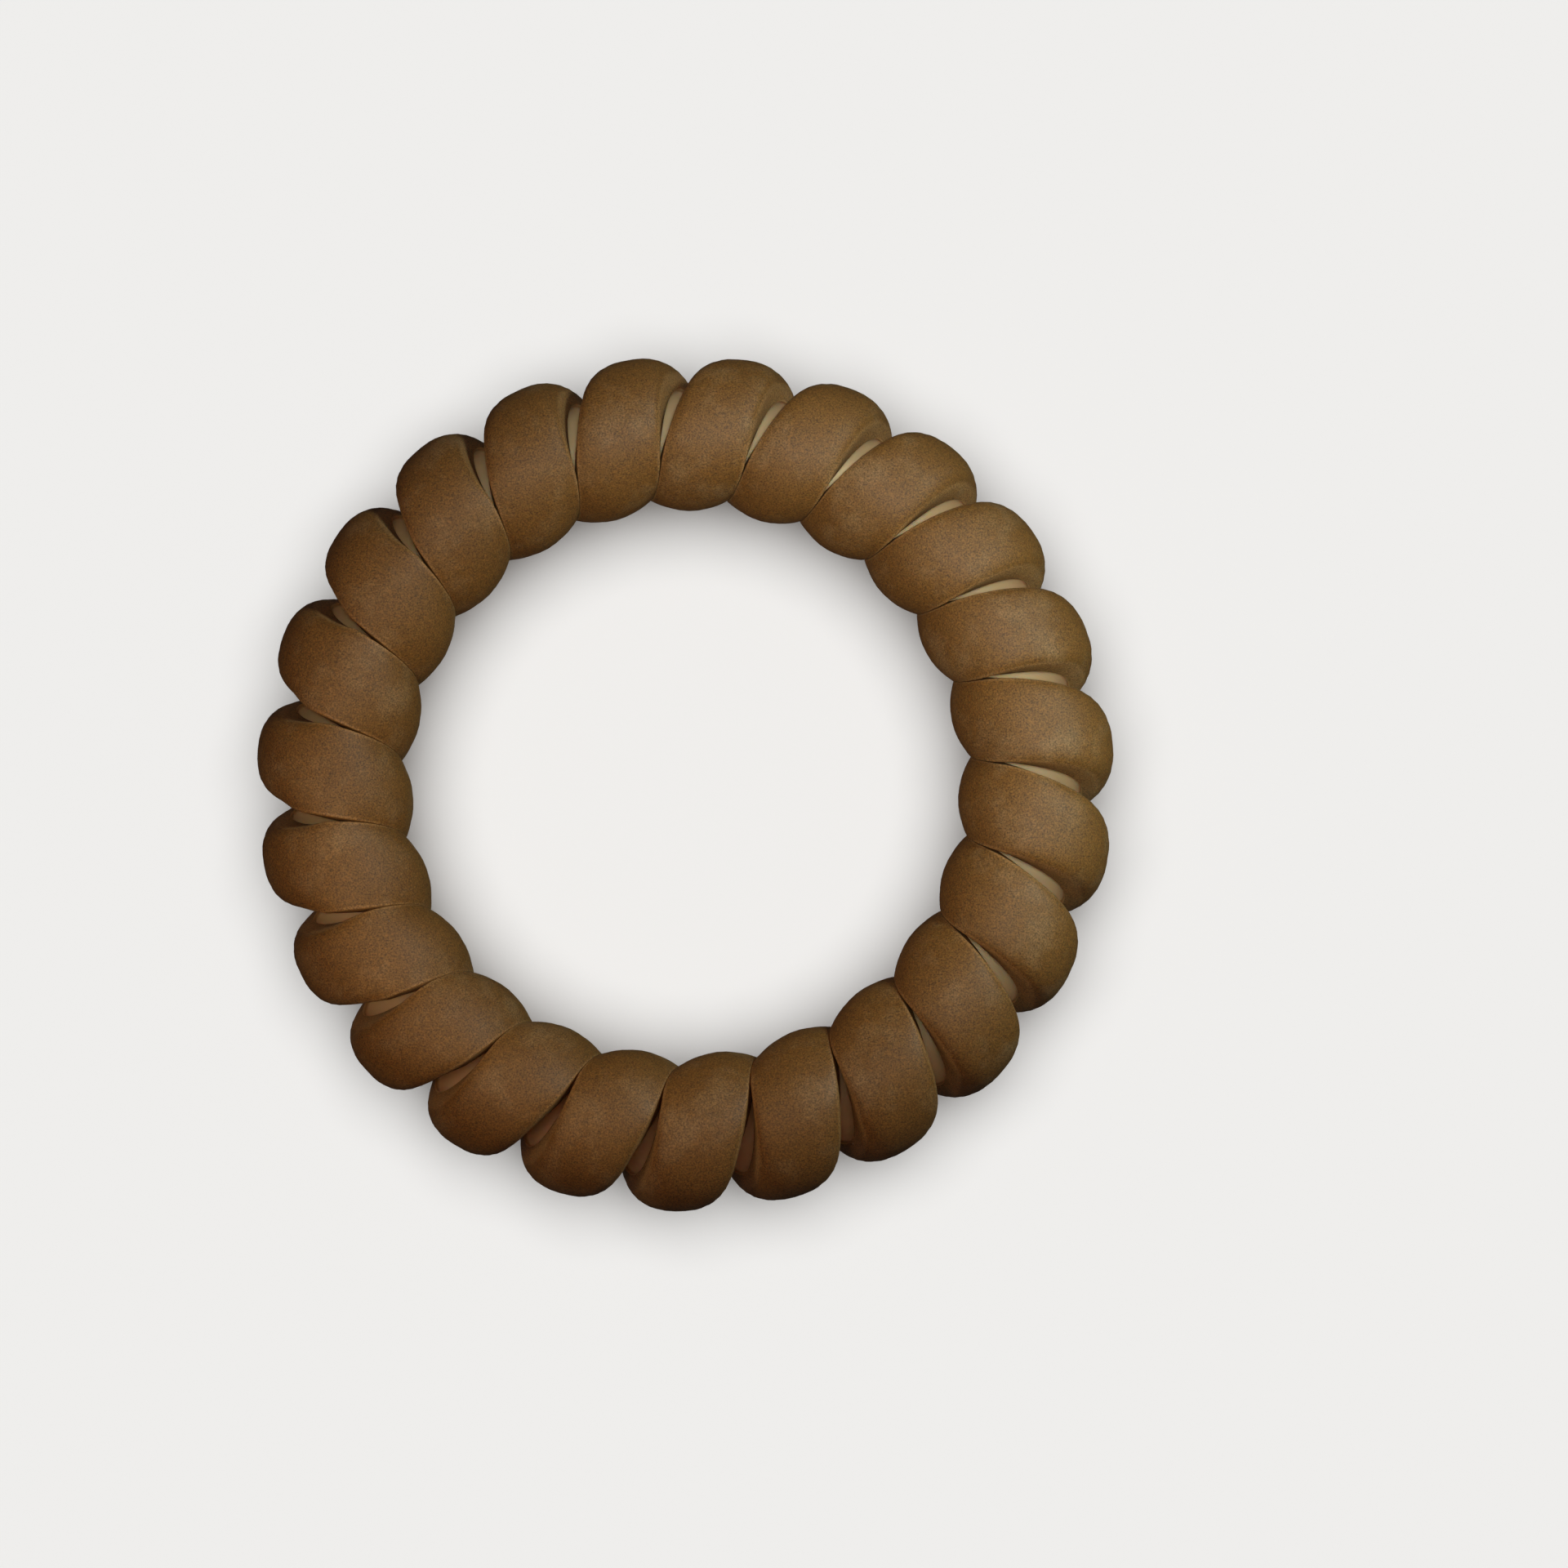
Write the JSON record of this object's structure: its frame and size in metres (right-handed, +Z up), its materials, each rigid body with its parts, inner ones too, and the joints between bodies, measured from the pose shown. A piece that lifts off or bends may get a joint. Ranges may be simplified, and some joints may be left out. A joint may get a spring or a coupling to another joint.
{
  "type": "spiral hair tie",
  "caption": "Spiral hair tie: one D-section strand of soft plastic wound into a coil that closes into a ring, its turns side by side on the hole side and spread at the rim.",
  "frame": {"origin": "middle of the ring, on the surface that its underside rests on", "axes": "+Z up along the ring's axis, through the hair opening; +X and +Y across the ring"},
  "size_m": [0.0549, 0.0548, 0.01],
  "materials": {
    "strand": "matt frosted, slightly translucent brown thermoplastic polyurethane"
  },
  "bodies": {
    "root": {"spiral_strand": "strand"}
  },
  "joints": []
}
